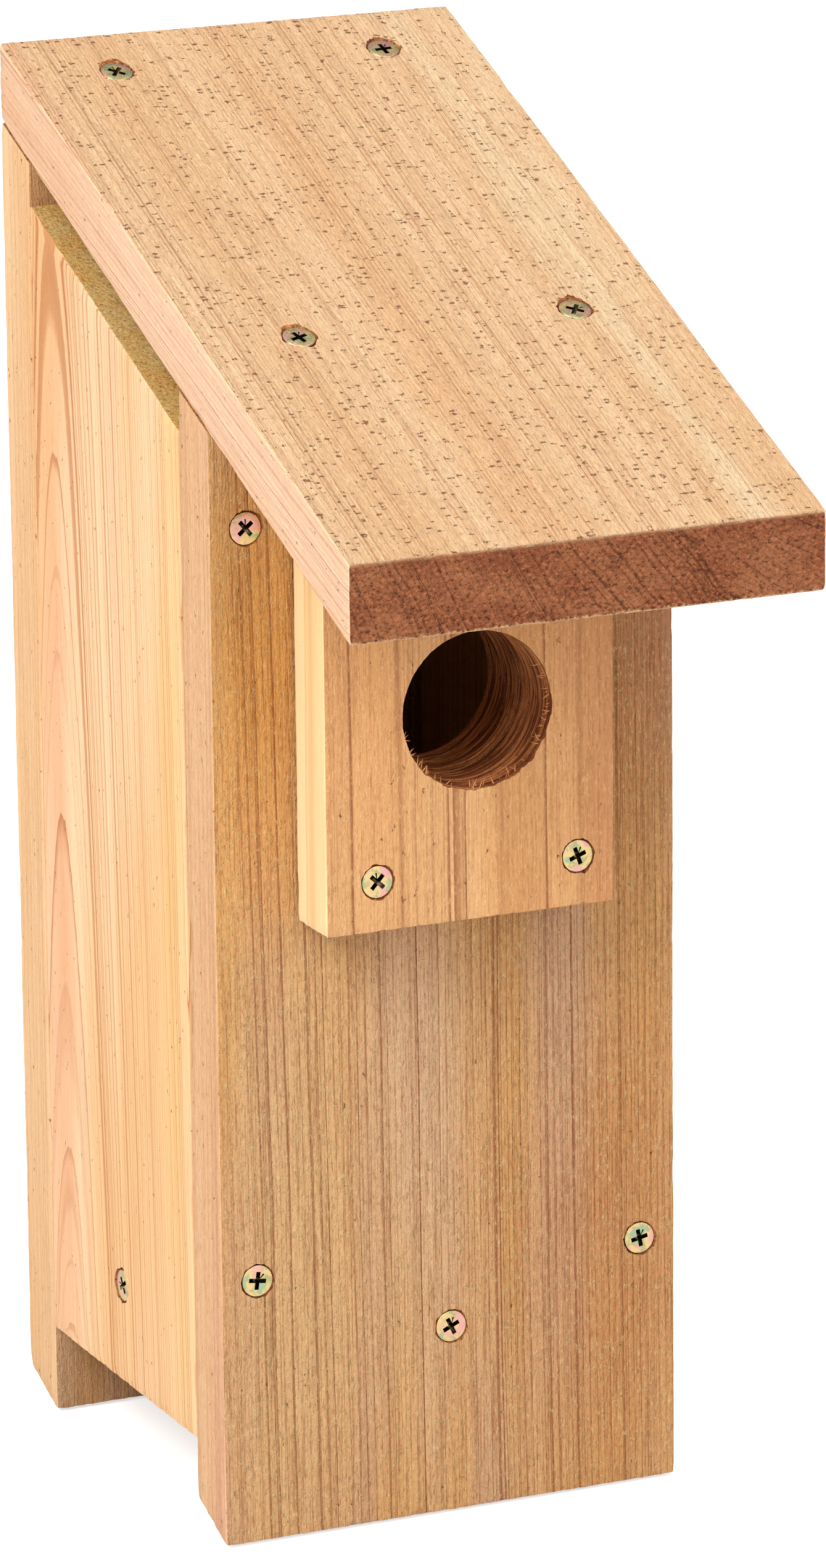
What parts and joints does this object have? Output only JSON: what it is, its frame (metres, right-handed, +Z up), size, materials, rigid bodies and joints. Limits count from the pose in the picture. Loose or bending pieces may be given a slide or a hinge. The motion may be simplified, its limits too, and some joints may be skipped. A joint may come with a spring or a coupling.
{
  "type": "birdhouse",
  "caption": "Upright cedar nest box with a sloped overhanging roof, a thick guard block around the round entrance, and a side panel that swings out for cleaning.",
  "frame": {"origin": "centre of the footprint, at the level of the boards' lowest edges", "axes": "+Z up, -Y the way the entrance faces, and +X the side of the clean-out door"},
  "size_m": [0.127, 0.22, 0.3665],
  "materials": {
    "cedar_front": "rough-sawn, unfinished cedar, orange brown",
    "cedar_back": "unfinished cedar, pinkish tan",
    "cedar_side": "planed, unfinished cedar, pale cream with fine upright grain",
    "cedar_inner": "unfinished cedar",
    "cedar_roof": "rough-sawn, unfinished cedar, pale tan with dark specks",
    "cedar_guard": "unfinished cedar, light tan with darker upright lines",
    "yellow_zinc": "yellow zinc plate with a green and pink sheen"
  },
  "bodies": {
    "box": {"front_board": "cedar_front", "back_board": "cedar_back", "left_side_panel": "cedar_side", "floor_board": "cedar_inner", "roof_board": "cedar_roof", "entrance_guard": "cedar_guard", "roof_front_screws": "yellow_zinc", "roof_back_screws": "yellow_zinc", "guard_lower_screws": "yellow_zinc", "guard_upper_screws": "yellow_zinc", "left_panel_front_screws": "yellow_zinc", "left_panel_back_screws": "yellow_zinc", "floor_front_screw": "yellow_zinc", "floor_back_screw": "yellow_zinc", "floor_left_screw": "yellow_zinc", "door_front_pivot_screw": "yellow_zinc", "door_back_pivot_screw": "yellow_zinc"},
    "door": {"clean_out_door": "cedar_side"},
    "lock_screw": {"door_lock_screw": "yellow_zinc"}
  },
  "joints": [
    {"name": "door_swing", "type": "hinge", "parent": "box", "child": "door", "pos_m": [0.0535, 0.0425, 0.265], "axis": [0, -1, 0], "range_deg": [0, 140]},
    {"name": "lock_screw_draw", "type": "slide", "parent": "box", "child": "lock_screw", "axis": [0, -1, 0], "range_m": [0, 0.014]}
  ]
}
